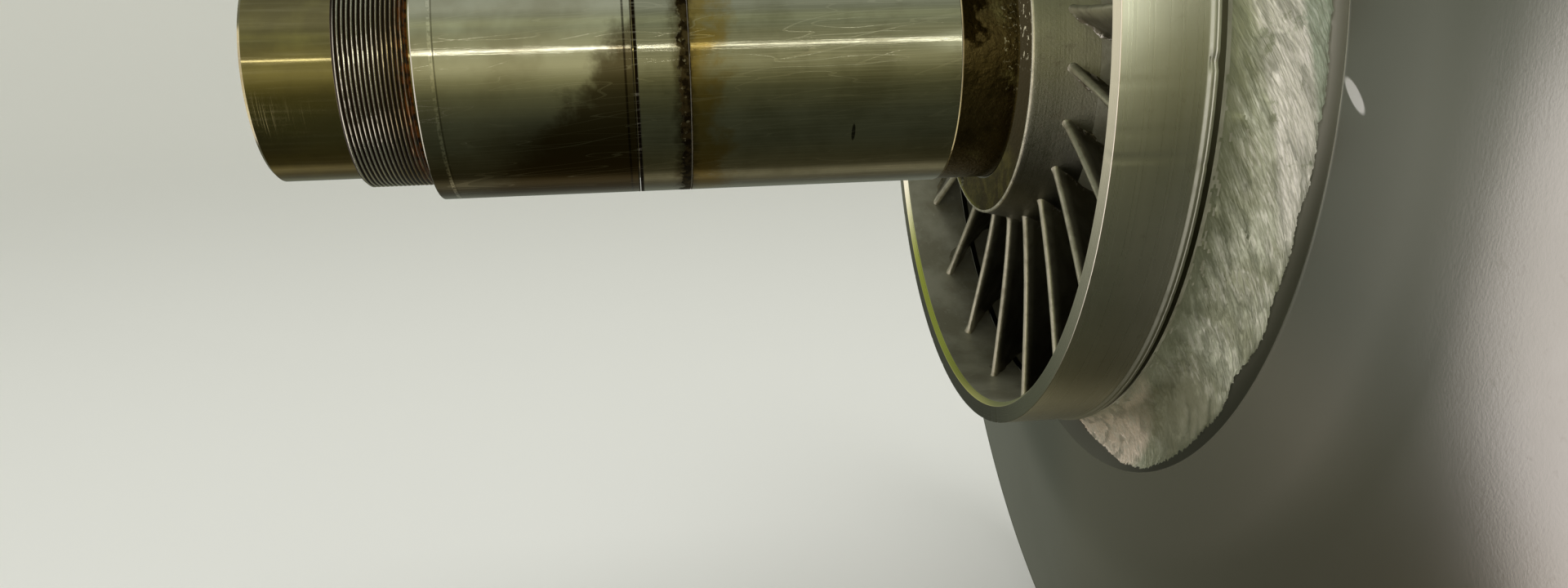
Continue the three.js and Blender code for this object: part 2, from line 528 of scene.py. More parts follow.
# The shaft's colour where it carries the impeller: old oil, golden where it is thin and dark
# where it is thick, with painted glints of the lamp's line beside the nose
def oilySeat(at, colour, seat):
    colour = stained(colour, "#685b3b", seat)
    colour = stained(colour, "#9c9568", seat, patches(at, 15, 0.56, 0.68, 5.0), 0.6)
    colour = stained(colour, "#4a4027", seat, patches(at, 20, 0.48, 0.36, 4.0), 0.7)
    thick = stained(colour, "#2a210d",
                    within(ragged(at, "fromEnd", 9, 9.0, 5.0), None, shaftSizes["thickOilEnd"], 3),
                    within(ragged(at, "angle", 9, 0.14, 5.0), -1, -0.04, 0.05))
    colour = stained(colour, thick, seat)
    besideNose = within(at["fromEnd"], noseFace - 9, None, 5)
    # painted glints where the lamp's line crosses the seat beside the nose
    inLight = within(at["angle"], -0.4, 0.25, 0.3)
    paintedGlints = patches(at, 2.2, 0.6, 0.65, 5.0)
    return stained(colour, "#d5cfb8", seat, besideNose, inLight, paintedGlints)


# Forged alloy steel, turned, under a brown film of old oil: a warm olive brown shine with
# faint lines, and blotchy dark brown where the oil is thick beside the impeller
def oiledTurnedSteel():
    material, tree, shader = startMaterial("oiled_turned_steel")
    at = turnedPlace(tree)
    colour = stained("#9f9668", "#8b8260", patches(at, 34, 0.38, 0.66))
    rubbed = streaks(at, ("along", "around"), (60, 2.2), 0.45, 0.75)
    colour = stained(colour, "#c2ba98", rubbed, 0.3)
    seat = within(at["fromEnd"], shaftSizes["sleeveEnd"] + 0.5, None, 1)
    colour = oilySeat(at, colour, seat)
    rough = addNode(tree, "MapRange", {0: rubbed, 3: 0.09, 4: 0.14})
    rough = addNode(tree, "Mix", {0: seat, 2: rough, 3: 0.3})
    # turning marks, drawn coarser
    feed = streaks(at, ("along", "around"), (0.5, 90), 0.2, 0.8, 2.0)
    pits = addNode(tree, "Math", {0: patches(at, 3, 0.35, 0.7, 5.0), 1: seat},
                   operation="MULTIPLY")
    wired(shader, colour, rough, (feed, 0.012), (pits, 0.15))
    return material


# The same steel as a cut thread: pale, rubbed crests over brown roots, rusty beside the sleeve
def rustyThreadSteel():
    material, tree, shader = startMaterial("rusty_thread_steel")
    at = turnedPlace(tree)
    crest = within(at["radius"], shaftSizes["threadRadius"] - 0.45, None, 0.6)
    oily = within(at["fromEnd"], shaftSizes["oilyFrom"], None, 12)
    crestColour = stained("#d6d3be", "#96865f", oily)
    colour = stained("#2a2012", crestColour, crest, patches(at, 9, 0.15, 0.4))
    rust = within(at["fromEnd"], shaftSizes["rustyFrom"], None, 5)
    colour = stained(colour, "#774719", rust, patches(at, 5, 0.42, 0.58, 6.0), 0.8)
    rough = addNode(tree, "MapRange", {0: crest, 3: 0.5, 4: 0.2})
    grit = patches(at, 1.4, 0.2, 0.8, 5.0)  # rust pits, drawn coarser
    wired(shader, colour, rough, (grit, 0.08))
    return material


def shaftOutline():
    s = shaftSizes
    half = [
        (0, 0.4),
        (0, s["pilotRadius"] - s["endChamfer"]),
        (s["endChamfer"], s["pilotRadius"]),
        (s["pilotEnd"] - 0.8, s["pilotRadius"]),
        (s["pilotEnd"], s["pilotRadius"] + 0.5),
        (s["pilotEnd"], s["threadRadius"] - s["endChamfer"]),
        (s["pilotEnd"] + s["endChamfer"], s["threadRadius"]),
    ]
    half = held(half)
    threadStop = s["threadEnd"] - s["reliefWidth"]
    threaded = divided([half[-1], (threadStop, s["threadRadius"])], s["threadPitch"] / 9)
    half += threaded[1:]
    half += held([
        (threadStop, s["reliefRadius"]),
        (s["threadEnd"], s["reliefRadius"]),
        (s["threadEnd"], s["sleeveSeatRadius"]),
        (s["sleeveEnd"], s["sleeveSeatRadius"]),
        (s["sleeveEnd"], s["hubSeatRadius"] - 0.4),
        (s["sleeveEnd"] + 0.4, s["hubSeatRadius"]),
        (noseFace - 3, s["hubSeatRadius"]),
    ])
    return half + mirrored(half)


# How deep the thread is cut at a place: flat-topped ridges on a true helix
def threadCut(x, radius, angle):
    s = shaftSizes
    inward = min(x, rotorLength - x)
    if radius < s["threadRadius"] - 0.01 or not s["pilotEnd"] < inward < s["threadEnd"]:
        return 0
    phase = ((x - s["threadPitch"] * angle / turn) / s["threadPitch"]) % 1
    ridge = min(max(abs(phase - 0.5) * 4.2 - 0.75, 0), 1)  # 1 on the crest, 0 in the root
    start = smoothStep(s["pilotEnd"] + 0.3, s["pilotEnd"] + 2, inward)
    chip = max(wobble(x * 0.9, angle * 40, 3) - 0.35, 0) * 0.9
    return s["threadDepth"] * (1 - ridge) * start + chip * ridge


def makeShaft():
    s = shaftSizes
    segments = s["segments"]
    outline = shaftOutline()
    verts = []
    for x, radius in outline:
        for k in range(segments):
            angle = turn * k / segments
            verts.append(onCircle(x, radius - threadCut(x, radius, angle), angle))
    faces = rowFaces(len(outline), segments)
    faces.append(tuple(range(segments))[::-1])
    faces.append(tuple(range(len(verts) - segments, len(verts))))
    shaft = finished("turned_shaft", verts, faces, oiledTurnedSteel(), "shaft_steel", "shaft")

    def onThread(x, radius, normal):
        return s["pilotEnd"] + 0.05 < min(x, rotorLength - x) < s["threadEnd"]

    painted(shaft, rustyThreadSteel(), onThread)
    shaft.visible_glossy = False  # its image would darken the ring's face and the cover


# Sleeves

sleeveSizes = {
    "bore": 58.3,
    "edge": 0.15,
    "firstEdge": 0.5,  # the chamfer beside the thread
    "segments": 384,
    "highlightLine": 86.4,  # a turned line near the first sleeve's start, painted as a highlight with painted shade beside it
    "darkLine": 173.2,  # a dark line beside the first joint
    "joints": (spanOf("left_distance_ring")[0], spanOf("left_seal_sleeve")[0]),
    "pasteStart": 198.4,  # dark sealing paste that has come out at the second joint
    "smearedFrom": 118,  # where the brown underneath the first sleeve grows heavier
    "strawEnd": 224,  # how far the straw tint reaches from the second joint
    "nick": (281, math.radians(33)),
}


# The first sleeve's colour: lighter on its upper side, with brown oil underneath and up its right
# end
def smearedSpacer(at, colour, drift):
    angle = at["angle"]
    onSpacer = within(at["fromEnd"], None, sleeveSizes["joints"][0], 0.4)
    # the upper side made lighter
    upperSide = within(angle, -2, 0.35, 0.5)
    colour = stained(colour, "#d9dacc", onSpacer, upperSide, 0.9)
    colour = stained(colour, "#8a7d5b", onSpacer, patches(at, 48, 0.4, 0.7), 0.4)
    below = within(angle, 0.4, 2.2, 0.5)
    heavier = within(at["fromEnd"], sleeveSizes["smearedFrom"], None, 46)
    colour = stained(colour, "#4d4228", onSpacer, below, heavier, 0.85)
    under = within(angle, 0.75, 2.2, 0.4)
    colour = stained(colour, "#4c4328", onSpacer, under, 0.7)
    climb = addNode(at["tree"], "Math", {0: angle, 1: 50.0, 2: drift}, operation="MULTIPLY_ADD")
    climbed = within(climb, sleeveSizes["darkLine"] - 4.2, None, 20)
    front = within(angle, None, 2.6, 0.6)
    return stained(colour, "#564828", onSpacer, climbed, front, 0.85)


# The paste at the second joint: the brown stain around it, how far it reaches, and its colour
def jointPaste(at):
    fray = ragged(at, "fromEnd", 6, 3.2, 6.0)
    stain = within(fray, 197, 206, 5)
    reached = within(fray, sleeveSizes["pasteStart"] + 1.2, None, 1.4)
    beforeJoint = within(at["fromEnd"], None, sleeveSizes["joints"][1] + 0.5, 0.4)
    paste = addNode(at["tree"], "Math", {0: reached, 1: beforeJoint}, operation="MULTIPLY")
    dark = stained("#241d10", "#4b4129", patches(at, 4, 0.42, 0.6, 5.0))
    dark = stained(dark, "#8d876c", patches(at, 2.2, 0.6, 0.68, 5.0), 0.8)
    return stain, paste, dark


# Ground steel wiped with oil: a polished grey green shine with fine lengthwise lines, brown
# smears beside the joints and a straw tint where one sleeve was heated to be fitted
def groundSleeveSteel():
    material, tree, shader = startMaterial("ground_sleeve_steel")
    at = turnedPlace(tree)
    s = sleeveSizes
    place = at["fromEnd"]
    smear = patches(at, 26, 0.4, 0.7)
    lines = streaks(at, ("along", "around"), (70, 0.8), 0.42, 0.7)  # grinding lines, drawn coarser
    colour = stained("#a9aa9a", "#959582", smear)
    colour = stained(colour, "#d3d3c6", lines, 0.3)
    drift = ragged(at, "fromEnd", 14, 14.0)
    colour = smearedSpacer(at, colour, drift)
    onSeal = within(place, s["joints"][1] + 0.2, None, 0.4)
    straw = within(drift, None, s["strawEnd"], 18)
    colour = stained(colour, "#9a8338", onSeal, straw, 0.8)
    stain, paste, dark = jointPaste(at)
    colour = stained(colour, "#564c2f", stain, 0.7)
    line = within(place, s["darkLine"] - 0.5, s["darkLine"] + 0.5, 0.6)
    colour = stained(colour, "#2b2110", line, 0.8)
    dirt = within(place, s["joints"][0] - 0.8, s["joints"][0] + 1.6, 0.7)
    colour = stained(colour, "#1c160b", dirt)
    # a painted highlight along the turned line, and painted shade just right of it
    edge = within(place, s["highlightLine"] - 0.6, s["highlightLine"] + 1.0, 0.5)
    speckled = patches(at, 1.7, 0.4, 0.56, 5.0)
    colour = stained(colour, "#efeddf", edge, speckled, 0.75)
    shade = within(place, s["highlightLine"] + 1.1, s["highlightLine"] + 1.8, 0.4)
    colour = stained(colour, "#57533a", shade, 0.6)
    nick = spot(at, ("fromEnd", "angle"), s["nick"], (0.9, 0.075))
    colour = stained(colour, "#1c1a10", nick, 0.85)
    short = scratches(at, ("along", "around"), (90, 7), 0.006)
    long = scratches(at, ("along", "around"), (160, 11), 0.005, math.radians(-7))
    marks = addNode(tree, "Math", {0: short, 1: long}, operation="MAXIMUM")
    colour = stained(colour, "#e6e3d4", marks, 0.16)
    colour = stained(colour, dark, paste)
    dull = addNode(tree, "Math", {0: paste, 1: dirt}, operation="MAXIMUM")
    rough = addNode(tree, "MapRange", {0: smear, 3: 0.08, 4: 0.13})
    rough = addNode(tree, "Math", {0: dull, 1: 0.45, 2: rough}, operation="MULTIPLY_ADD")
    wired(shader, colour, rough, (lines, 0.004), (marks, -0.005))
    return material


def sleeveOutline(start, end, radius, kind):
    s = sleeveSizes
    inset = s["firstEdge"] if kind == "spacer_sleeve" else s["edge"]
    bore = s["bore"]
    return softened([
        (start, bore), (start, radius - inset), (start + inset, radius),
        (end - s["edge"], radius), (end, radius - s["edge"]), (end, bore),
    ], s["edge"])


def makeSleeves():
    steel = groundSleeveSteel()
    for side in ("left", "right"):
        for kind in ("spacer_sleeve", "distance_ring", "seal_sleeve"):
            start, end, radius = spanOf(f"left_{kind}")
            outline = sleeveOutline(start, end, radius, kind)
            if side == "right":
                outline = mirrored(outline)
            node = f"{side}_{kind}"
            sleeve = turnedRing(f"ground_{node}", outline, sleeveSizes["segments"], steel,
                                "sleeve_steel", node)
            sleeve.visible_glossy = side == "right"  # or its image would darken the discs


# Impeller: sizes that its pieces share, and the walls of the gas passage

impeller = {
    "eyeRadius": 184.7,
    "rimRadius": spanOf("cover_disc")[2],
    "hubRimX": 497,
    "rootEdge": (374.5, 87.3),  # where the hub's wall starts, under the blades' leading edges
    "coverRim": (450.6, 11),  # the cover's front at its rim, and its thickness there
    "ringEnd": spanOf("eye_ring")[1],
    "hubBend": (450, 109),  # handles of the curves of the walls
    "hubUprightFrom": 128,
    "coverLevelTo": 436,
    "coverBend": (443, 212),
}


def hubWall(count):
    i = impeller
    return bezier(i["rootEdge"], i["hubBend"], (i["hubRimX"], i["hubUprightFrom"]),
                  (i["hubRimX"], i["rimRadius"]), count)


def coverWall(count):
    i = impeller
    return bezier((i["ringEnd"] + 0.3, i["eyeRadius"]), (i["coverLevelTo"], i["eyeRadius"]),
                  i["coverBend"], (sum(i["coverRim"]), i["rimRadius"]), count)


# The walls of the gas passage, milled and dusty with dry gas residue: dull dark olive grey
def milledChannelSteel():
    material, tree, shader = startMaterial("milled_channel_steel")
    at = turnedPlace(tree)
    colour = stained("#b0af9c", "#92907c", patches(at, 30, 0.35, 0.65))
    colour = stained(colour, "#c0bea9", patches(at, 5, 0.58, 0.72, 6.0), 0.5)
    rough = addNode(tree, "MapRange", {0: patches(at, 12, 0.3, 0.7), 3: 0.42, 4: 0.56})
    grit = patches(at, 1.6, 0.2, 0.8)  # dust and cutter marks, drawn coarser
    wired(shader, colour, rough, (grit, 0.05))
    shader.inputs["Metallic"].default_value = 0.4
    return material


# The grain of blasted steel, drawn coarser: its grit, and faint turning rings under it
def blastedGrain(at):
    grit = patches(at, 1.2, 0.2, 0.8, 4.0, 0.7)
    rings = streaks(at, ("radius", "along"), (0.9, 0.9), 0.2, 0.8, 2.0)
    return grit, rings


# Hub disc

hubSizes = {
    "bore": 64.8,
    "noseRadius": 84,
    "brightEdge": 1.4,  # how wide the nose's face carries a painted highlight along its edge
    "rimThickness": 17,
    "bossEnd": spanOf("hub_disc")[1],
    "bossFillet": ((4, 170), (4.8, 118), (14, 91)),  # how far behind the rim, and at what radius
    "segments": 504,
    "hole": (78.2, math.radians(116), 2.2),  # a small drilled hole: where, at what angle, radius
}


# Alloy steel, grit blasted and then handled: dark warm grey, dull, with a fine grain and faint
# turning rings under it, a painted highlight along the nose's edge and painted shade under its
# barrel
def blastedSteel():
    material, tree, shader = startMaterial("blasted_alloy_steel")
    at = turnedPlace(tree)
    colour = stained("#9a9b88", "#8c8c78", patches(at, 70, 0.35, 0.7))
    spots = patches(at, 7, 0.3, 0.7, 6.0, 0.7)
    colour = stained(colour, "#6a6048", within(spots, 0.85, None, 0.25), 0.3)
    # painted shade on the lower side of the hub's barrel
    lower = within(at["angle"], 0.5, 2.4, 0.6)
    onBarrel = within(at["along"], None, 400, 20)
    colour = stained(colour, "#57554a", lower, onBarrel, 0.7)
    # a painted highlight along the nose's edge
    bright = hubSizes["noseRadius"] - hubSizes["brightEdge"]
    rim = within(at["radius"], bright - 0.1, None, 0.1)
    front = within(at["along"], None, noseFace + 0.9, 0.3)
    highlightShare = addNode(tree, "MapRange", {0: patches(at, 6, 0.3, 0.6), 3: 0.45, 4: 1.0})
    colour = stained(colour, "#d9d5bd", rim, front, highlightShare)
    rough = addNode(tree, "MapRange", {0: spots, 3: 0.36, 4: 0.46})
    grit, rings = blastedGrain(at)
    wired(shader, colour, rough, (grit, 0.04), (rings, 0.02))
    return material


# The nose's face of the same steel, wet with old oil: brown, nearly black, with a painted
# yellow-green reflection low on its rim and painted glints in the lamp's line
def oilyNoseSteel():
    material, tree, shader = startMaterial("oily_alloy_steel")
    at = turnedPlace(tree)
    colour = stained("#3f3c1e", "#5c562d", patches(at, 9, 0.4, 0.6, 5.0))
    colour = stained(colour, "#332c19", patches(at, 12, 0.5, 0.4, 5.0), 0.8)
    # a painted yellow-green reflection on the lower part of the face's outer rim
    outside = within(at["radius"], hubSizes["noseRadius"] - 3, None, 2)
    lower = within(at["angle"], 1.7, 2.7, 0.4)
    colour = stained(colour, "#a3a457", outside, lower, 0.8)
    colour = stained(colour, "#2f2818", within(at["angle"], -2.6, 0.75, 0.25))
    # painted glints where the lamp's line crosses the face
    inLight = within(at["angle"], -0.5, 0.08, 0.15)
    colour = stained(colour, "#f2eedb", inLight, patches(at, 2.6, 0.61, 0.66, 5.0))
    wired(shader, colour, None, (patches(at, 3, 0.2, 0.8, 5.0), 0.05))
    shader.inputs["Roughness"].default_value = 0.25
    shader.inputs["Specular Tint"].default_value = linear("#cbc8c0")  # oil dims it at low angles
    return material


def makeHub(channelSteel):
    h = hubSizes
    rimX, rimRadius = impeller["hubRimX"], impeller["rimRadius"]
    back = rimX + h["rimThickness"]
    handles = [(back + depth, radius) for depth, radius in h["bossFillet"]]
    boss = bezier(*handles, (h["bossEnd"] - 1, h["noseRadius"]), 22)
    oily = h["noseRadius"] - h["brightEdge"]
    outline = [
        (noseFace + 0.8, h["bore"]),
        *divided([(noseFace, h["bore"] + 0.8), (noseFace, oily)], 1.2),
        (noseFace, h["noseRadius"] - 0.6),
        (noseFace + 0.2, h["noseRadius"] - 0.2),
        (noseFace + 0.6, h["noseRadius"]),
        *divided([(noseFace + 3, h["noseRadius"] + 0.5), impeller["rootEdge"]], 3)[:-1],
        *hubWall(44),
        (rimX + 0.5, rimRadius),
        (back - 0.5, rimRadius),
        *divided([(back, rimRadius - 0.5), handles[0]], 40)[:-1],
        *boss,
        (h["bossEnd"], h["noseRadius"] - 1),
        (h["bossEnd"], h["bore"]),
    ]
    holeRadius, holeAngle, size = h["hole"]

    def shift(x, radius, angle):
        off = math.hypot(radius - holeRadius, (angle - holeAngle) * holeRadius)
        return (5, 0) if x <= noseFace + 0.5 and off < size else (0, 0)

    def inPassage(x, radius, normal):
        return radius > 92 and x < rimX + 0.2 and radius < rimRadius - 0.2

    def onNose(x, radius, normal):
        return x < noseFace + 0.1 and radius < oily

    hub = turnedRing("hub_disc_steel", outline, h["segments"], blastedSteel(),
                     "impeller_steel", "hub_disc", shift=shift)
    painted(hub, channelSteel, inPassage)
    painted(hub, oilyNoseSteel(), onNose)


# Cover disc with its hand-ground band

coverSizes = {
    "neckRadius": 195,
    "filletStart": 397,
    "filletLength": 46.5,  # along its curve
    "filletRows": 46,
    "step": (425.1, 226.1),
    "segments": 720,
    "bareSpot": (math.radians(4.42) * 233, 233),  # a lens-shaped spot rubbed bare, round and out
}
groundBand = {
    "reach": 37.6,  # millimetres of the fillet that the grinder reached, from its start
    "lowReach": 43.3,  # the same underneath
    "lowBetween": (0.5, 1.25),  # the angles between which it changes
    "ragged": 1.6,
    "tooth": 5.4,  # pitch and depth of the teeth along its edge
    "toothDepth": 1.5,
    "from": math.radians(-76),
    "to": math.radians(87),
    "cutBack": math.radians(11),  # how much sooner it stops at its outer side
    "cutBetween": (29, 44.5),  # where that is, in millimetres from the fillet's start
    "depth": 0.5,
    "strokeLength": 20,
    "strokeWidth": 5.5,
    "strokeAngle": math.radians(27),
    "strokeRadius": 212,  # at which the strokes have that angle
}


def groundAmount(run, angle, radius):  # millimetres inside the ground band's ragged edge
    g = groundBand
    if angle > math.pi:
        angle -= turn
    reach = g["reach"] + (g["lowReach"] - g["reach"]) * smoothStep(*g["lowBetween"], angle)
    slow = wobble(angle * 8, 0, 5) * g["ragged"] * 2
    saw = (angle * radius / g["tooth"] + wobble(angle * 9, 3, 1)) % 1
    teeth = (saw - 0.5) * g["toothDepth"] * (0.6 + wobble(angle * 21, 6, 2))
    outer = reach + slow + teeth - run
    stop = g["to"] - g["cutBack"] * smoothStep(*g["cutBetween"], run)
    stop += wobble(run * 0.35, 7, 0) * 0.02
    return min(outer, (stop - angle) * radius, (angle - g["from"]) * radius, run - 0.4)


def groundFacet(run, angle):  # how deep the nearest grinding stroke cut, about 0 to 1
    g = groundBand
    around = (angle if angle < math.pi else angle - turn) * g["strokeRadius"]
    c, s = math.cos(g["strokeAngle"]), math.sin(g["strokeAngle"])
    u = (around * c + run * s) / g["strokeLength"]
    v = (run * c - around * s) / g["strokeWidth"]
    strokes = []
    for i in (-1, 0, 1):
        for j in (-1, 0, 1):
            cell = Vector((math.floor(u) + i, math.floor(v) + j, 0))
            spread = noise.cell_vector(cell)
            du, dv = u - cell.x - spread.x, v - cell.y - spread.y
            strokes.append((du * du + dv * dv, du, dv, spread))
    du, dv, spread = min(strokes, key=lambda stroke: stroke[0])[1:]
    return 0.5 + (spread.z - 0.5) * 0.5 + du * (spread.x - 0.5) * 1.2 + dv * (spread.y - 0.5) * 1.6


# The cover's colour where it wasn't ground: pale out to the rim and darker in the fillet, with
# a painted highlight along the step's upper edge and one bare spot
def plainCoverColour(at, inFillet, low):
    angle, radius = at["angle"], at["radius"]
    step = coverSizes["step"][1]
    spots = patches(at, 7, 0.3, 0.7, 6.0, 0.7)
    plain = stained("#a6a59d", "#9f9e95", patches(at, 90, 0.35, 0.7))
    plain = stained(plain, "#828478", within(radius, None, 292, 36))
    plain = stained(plain, "#a5a091", within(angle, 0.5, 1.75, 0.3), 0.7)
    plain = stained(plain, "#7c7866", within(spots, 0.93, None, 0.2), 0.12)
    inside = stained("#8e8e80", "#4f5042", low)
    inside = stained(inside, "#444538", within(angle, 0.6, 2.6, 0.5))
    inside = stained(inside, "#77776b", within(angle, 1.3, 2.6, 0.4))
    plain = stained(plain, inside, inFillet)
    # a painted highlight on the step's edge, over its upper front only
    edge = within(radius, step + 0.1, step + 0.7, 0.3)
    plain = stained(plain, "#e4e2d2", edge, within(angle, -1, 0.3, 0.5), 0.5)
    bareSpot = spot(at, ("around", "radius"), coverSizes["bareSpot"], (8.1, 2.2),
                    math.radians(42))
    return stained(plain, "#f4f2ee", bareSpot)


# The ground band's colour: bare metal under slanting strokes, with a painted highlight over a
# slanting stretch of its upper side, duller where it was ground finer, and a painted pinkish
# reflection at its lower end
def groundBandColour(at, strokes, fine, smooth):
    tree, angle, run = at["tree"], at["angle"], at["run"]
    bare = stained("#b5baa2", "#92967c", patches(at, 22, 0.42, 0.62))
    # a painted pinkish reflection at the band's lower end
    tail = addNode(tree, "Math", {0: run, 1: -0.011, 2: angle}, operation="MULTIPLY_ADD")
    bare = stained(bare, "#efe1cc", within(tail, 0.8, None, 0.08))
    bare = stained(bare, "#cfd0be", strokes, patches(at, 16, 0.4, 0.55), 0.6)
    # a painted highlight, pale and greenish, over a slanting stretch of the band's upper side
    upper = within(angle, None, 0.36, 0.16)
    slant = addNode(tree, "Math", {0: angle, 1: -50.0, 2: run}, operation="MULTIPLY_ADD")
    bright = within(slant, 12.5, 30, 4)
    bare = stained(bare, "#a3b39f", upper, within(slant, 27, None, 6), 0.6)
    bare = stained(bare, "#dadacb", upper, bright, patches(at, 13, 0.36, 0.43, 5.0))
    bare = stained(bare, "#6a6d52", fine, 0.25)
    bare = stained(bare, "#636852", within(at["facet"], None, 0.35, 0.3), 0.45)
    bare = stained(bare, "#a3a78d", within(run, None, 8, 10), 0.6)
    return stained(bare, "#75765d", smooth, 0.75)


# The cover's steel. Where the grinder went it is bright and rough, with short slanting strokes,
# and it is darkened by grease and painted shade in the corner behind the eye ring
def coverSteel():
    material, tree, shader = startMaterial("blasted_and_hand_ground_steel")
    at = turnedPlace(tree)
    for key in ("ground", "facet", "run"):
        at[key] = addNode(tree, "Attribute", output="Fac", attribute_name=key)
    inFillet = within(at["radius"], None, coverSizes["step"][1] - 0.3, 0.5)
    low = within(at["angle"], 0.15, 2.6, 0.5)
    tilt = groundBand["strokeAngle"]
    strokes = streaks(at, ("around", "run"), (11, 1.5), 0.4, 0.62, 5.0, tilt)
    fine = streaks(at, ("around", "run"), (6, 0.8), 0.42, 0.6, 4.0, tilt)
    smooth = within(at["angle"], 0.78, 1.1, 0.15)  # a stretch that was ground finer
    smooth = addNode(tree, "Math", {0: smooth, 1: within(at["run"], 10, None, 8)},
                     operation="MULTIPLY")
    onBand = within(ragged(at, "ground", 2.2, 1.2, 5.0), 0.6, None, 0.3)
    plain = plainCoverColour(at, inFillet, low)
    colour = stained(plain, groundBandColour(at, strokes, fine, smooth), onBand)
    # grease and painted shade in the corner behind the eye ring's lip, darker underneath
    corner = within(at["run"], None, 0.5, 1.4)
    greaseAndShade = stained("#6f6e5c", "#34331f", low)
    colour = stained(colour, greaseAndShade, corner, 0.8)
    ground = addNode(tree, "MapRange", {0: fine, 3: 0.38, 4: 0.55})
    blasted = addNode(tree, "MapRange", {0: at["radius"], 1: 264.0, 2: 294.0, 3: 0.26, 4: 0.13})
    blasted = addNode(tree, "Mix", {0: inFillet, 2: blasted, 3: 0.42})
    rough = addNode(tree, "Mix", {0: onBand, 2: blasted, 3: ground})
    metal = addNode(tree, "MapRange", {0: onBand, 3: 1.0, 4: 0.75})
    cut = addNode(tree, "MapRange", {0: smooth, 3: onBand, 4: 0.0})
    outer = addNode(tree, "MapRange", {0: at["run"], 1: 6.0, 2: 26.0, 3: 0.25, 4: 1.0})
    cut = addNode(tree, "Math", {0: cut, 1: outer}, operation="MULTIPLY")
    relief = addNode(tree, "Math", {0: strokes, 1: cut}, operation="MULTIPLY")
    grit, rings = blastedGrain(at)
    wired(shader, colour, rough, (grit, 0.004), (rings, 0.001), (relief, 0.24), metal=metal)
    return material


def makeCover(channelSteel):
    c = coverSizes
    stepX, stepRadius = c["step"]
    fillet = []
    for k in range(c["filletRows"] + 1):
        angle = math.pi / 2 * k / c["filletRows"]
        fillet.append((
            c["filletStart"] + (stepX - c["filletStart"]) * math.sin(angle),
            stepRadius - (stepRadius - c["neckRadius"]) * math.cos(angle),
        ))
    runs = {}
    run = 0
    for i, point in enumerate(fillet):
        run += (Vector(point) - Vector(fillet[i - 1])).length if i else 0
        runs[point] = run
    rimX, rimThickness = impeller["coverRim"]
    rimRadius = impeller["rimRadius"]
    outline = [
        (impeller["ringEnd"] + 0.3, impeller["eyeRadius"] + 0.1),
        (impeller["ringEnd"] + 0.3, c["neckRadius"]),
        *fillet,
        *divided([(stepX + 0.2, stepRadius + 1), (rimX, rimRadius - 2)], 24),
        (rimX - 0.1, rimRadius - 0.6),
        (rimX + 0.6, rimRadius),
        (rimX + rimThickness - 0.6, rimRadius),
        *coverWall(40)[1:][::-1],
    ]

    def shift(x, radius, angle):
        run = runs.get((x, radius))
        if run is None:  # not on the fillet, so its marks say well away from the band
            return 0, 0, -20, 0.5, 60 if radius > stepRadius else 0
        amount = groundAmount(run, angle, radius)
        facet = groundFacet(run, angle)
        depth = smoothStep(0, 1.0, amount) * groundBand["depth"] * (0.5 + 1.6 * facet)
        lean = math.pi / 2 * run / c["filletLength"]
        return depth * math.sin(lean), -depth * math.cos(lean), amount, facet, run

    def inPassage(x, radius, normal):
        return normal.x > 0.02 and radius < rimRadius - 0.2

    cover = turnedRing("cover_disc_steel", outline, c["segments"], coverSteel(),
                       "impeller_steel", "cover_disc", shift=shift,
                       marks=("ground", "facet", "run"))
    painted(cover, channelSteel, inPassage)


# Eye ring

ringSizes = {
    "face": spanOf("eye_ring")[0],
    "radius": 195.5,
    "chamfer": (2.8, 2.3),  # of the bore, along and outwards
    "lip": 390,  # where the small lip at its back starts
    "lipRadius": spanOf("eye_ring")[2],
    "segments": 720,
    "chip": (math.radians(1.6), 0.02, 1.1),  # a chip in the lip: angle, half its width, depth
}


# Fine-turned steel left bare: satin grey green with rings around it and bright, nicked edges;
# painted light and shade on its front face and a painted yellow-green reflection on the bore's
# chamfer underneath
def satinTurnedSteel():
    material, tree, shader = startMaterial("satin_turned_steel")
    at = turnedPlace(tree)
    r = ringSizes
    colour = stained("#e0e3d6", "#d5d8ca", patches(at, 40, 0.35, 0.7))
    wide = streaks(at, ("along", "radius"), (5, 9), 0.4, 0.65, 2.0)
    colour = stained(colour, "#d3d6cb", wide, 0.25)
    colour = stained(colour, "#8d8468", patches(at, 6, 0.6, 0.75, 6.0), 0.2)
    face = within(at["along"], None, r["face"] + 0.4, 0.4)
    colour = stained(colour, "#8b8c74", face)
    # painted light over the face's upper front, and painted shade on its lower side
    lit = within(at["angle"], -1.6, 0.6, 0.8)
    colour = stained(colour, "#efe9d6", face, lit)
    colour = stained(colour, "#4d4c36", face, within(at["angle"], 1.2, 2.6, 0.5))
    chamfer = within(at["radius"], None, impeller["eyeRadius"] + r["chamfer"][1], 0.3)
    colour = stained(colour, "#e6e3ca", chamfer)
    # a painted yellow-green reflection on the chamfer's lower side
    colour = stained(colour, "#d0d765", chamfer, within(at["angle"], 1.2, 2.5, 0.4))
    colour = stained(colour, "#9b9e4a", chamfer, within(at["angle"], 1.0, 1.8, 0.4))
    lip = within(at["along"], r["lip"] - 0.4, None, 0.6)
    colour = stained(colour, "#94967f", lip, within(at["angle"], 0.15, 2.6, 0.5), 0.7)
    # turning marks, drawn coarser
    feed = streaks(at, ("along", "radius"), (0.45, 0.45), 0.2, 0.8, 3.0)
    rough = addNode(tree, "MapRange", {0: feed, 3: 0.26, 4: 0.34})
    rough = addNode(tree, "Math", {0: lip, 1: 0.2, 2: rough}, operation="MULTIPLY_ADD")
    wired(shader, colour, rough, (feed, 0.009))
    return material


